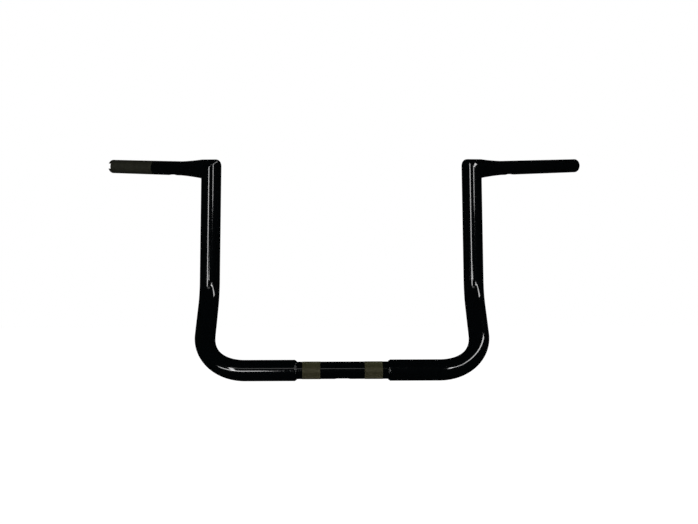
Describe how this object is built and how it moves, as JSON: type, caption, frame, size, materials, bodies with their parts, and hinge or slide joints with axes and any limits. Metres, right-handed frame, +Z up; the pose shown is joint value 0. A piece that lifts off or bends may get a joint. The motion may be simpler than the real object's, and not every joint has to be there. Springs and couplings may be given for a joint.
{
  "type": "ape hanger handlebar",
  "caption": "Tall fat-tube motorcycle handlebar: stepped clamp tube, raked and mitred uprights, swept-back reduced grip tubes and a slotted throttle end.",
  "frame": {"origin": "middle of the clamp tube, on its axis", "axes": "+X along the clamp tube towards the clutch side (the rider's left), +Y back towards the rider, +Z up; the uprights' upper parts stand along Z"},
  "size_m": [0.9066, 0.3088, 0.3948],
  "materials": {
    "gloss_black_coat": "gloss black powder coat",
    "bare_throttle_end": "gloss coat up to a bare, dull darkened sleeve seat"
  },
  "bodies": {
    "root": {"clamp_tube": "gloss_black_coat", "throttle_side_upright": "gloss_black_coat", "clutch_side_upright": "gloss_black_coat", "throttle_side_step_weld": "gloss_black_coat", "clutch_side_step_weld": "gloss_black_coat", "throttle_side_reducer": "gloss_black_coat", "clutch_side_reducer": "gloss_black_coat", "throttle_grip_tube": "bare_throttle_end", "clutch_grip_tube": "gloss_black_coat"}
  },
  "joints": []
}
